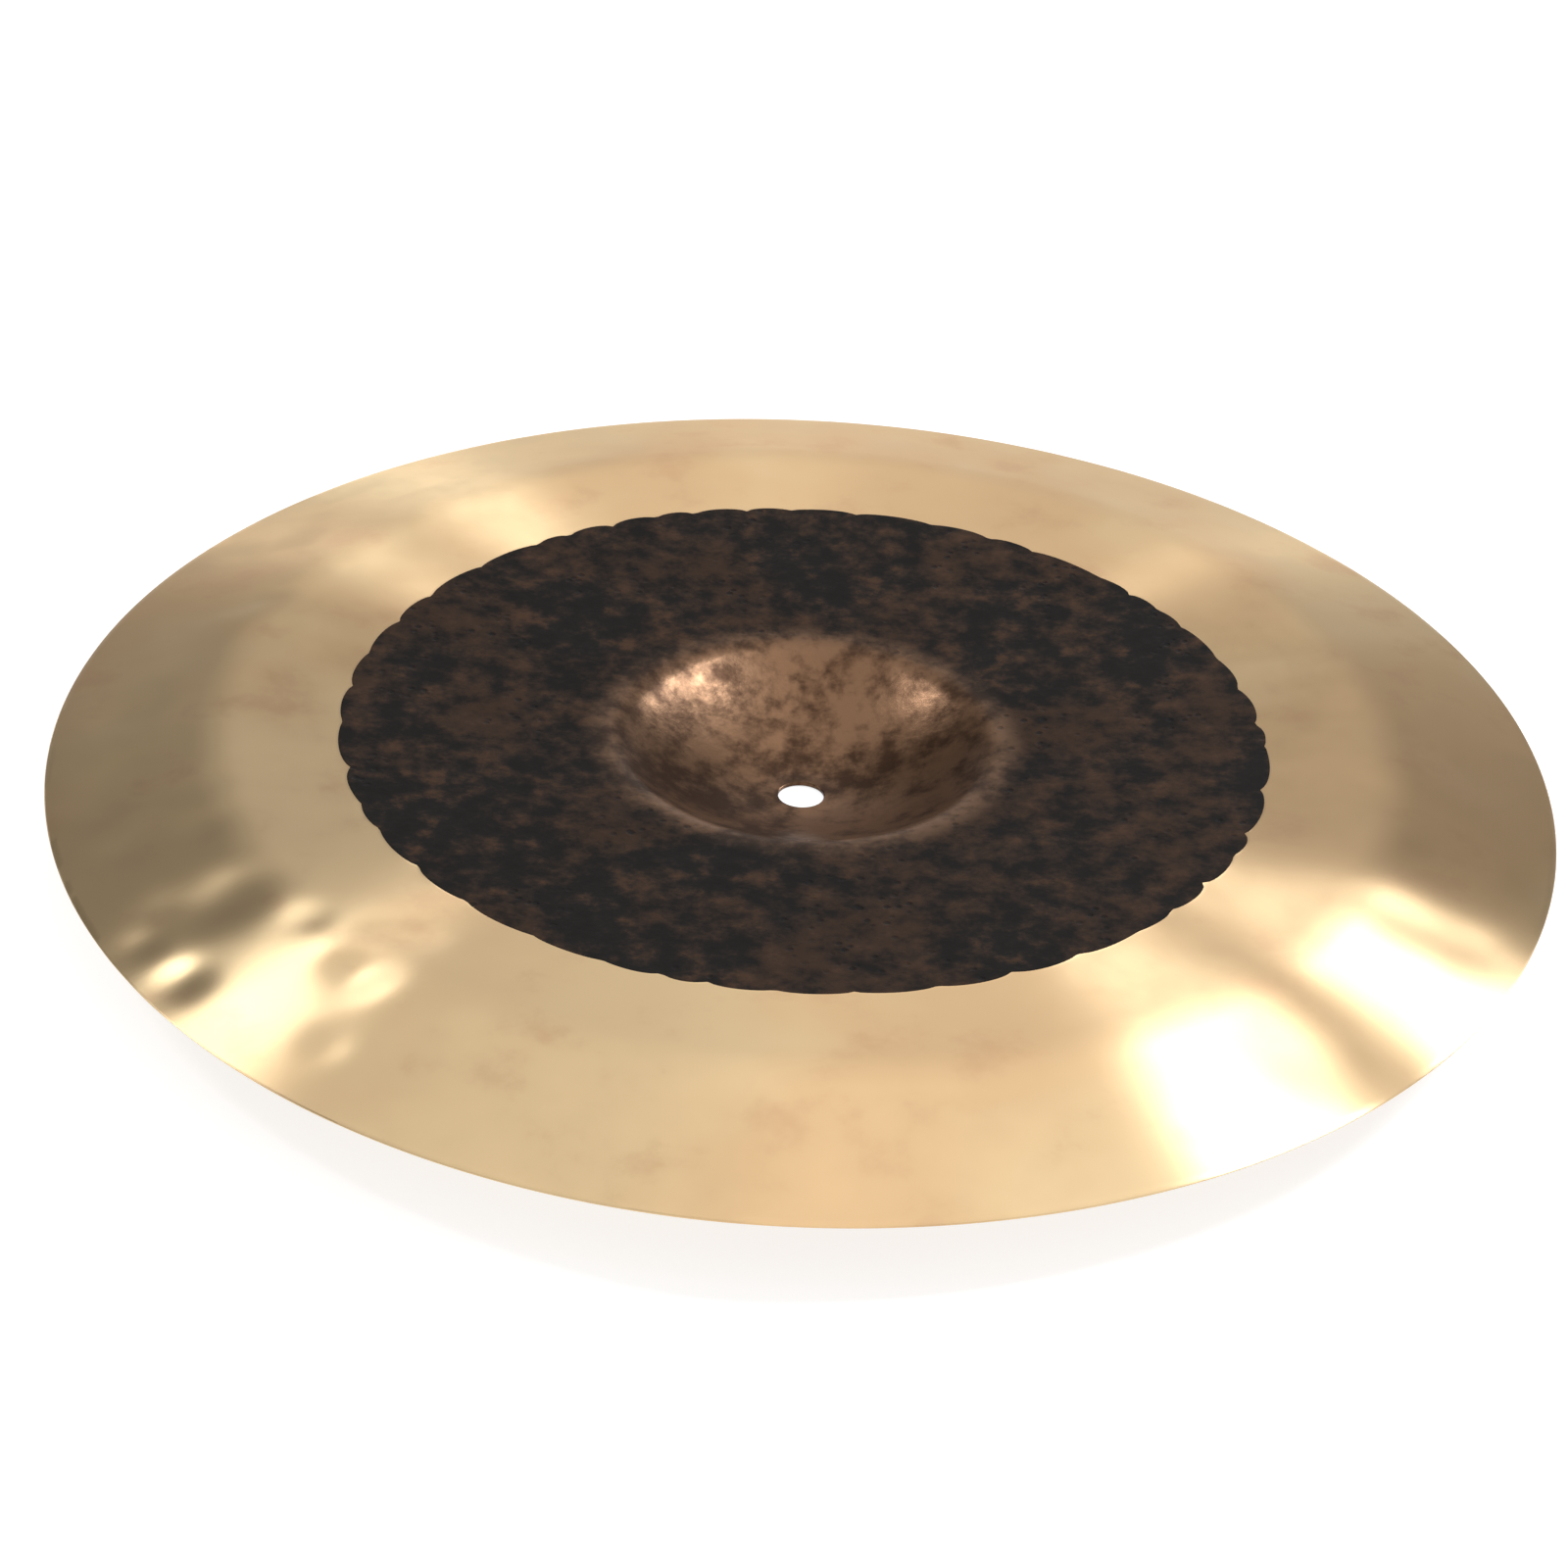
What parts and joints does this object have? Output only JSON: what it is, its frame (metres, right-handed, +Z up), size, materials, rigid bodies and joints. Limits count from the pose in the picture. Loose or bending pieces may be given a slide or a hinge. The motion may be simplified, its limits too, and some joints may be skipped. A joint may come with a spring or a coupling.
{
  "type": "china cymbal",
  "caption": "Round bronze china cymbal lying on its bell: cupped bell with a centre hole for a stand, dished bow, turned-back rim, raw dark middle and lathed bright outer ring.",
  "frame": {"origin": "centre of the hole, on the flat outer face of the bell that the cymbal lies on", "axes": "+Z up along the hole's axis, from the bell's outer face towards the open underside; -Y points at the picture's camera and +X to its right"},
  "size_m": [0.4064, 0.4064, 0.0277],
  "materials": {
    "bronze": "lathed bright outside the raw, oxidised dark brown middle"
  },
  "bodies": {
    "root": {"cymbal": "bronze"}
  },
  "joints": []
}
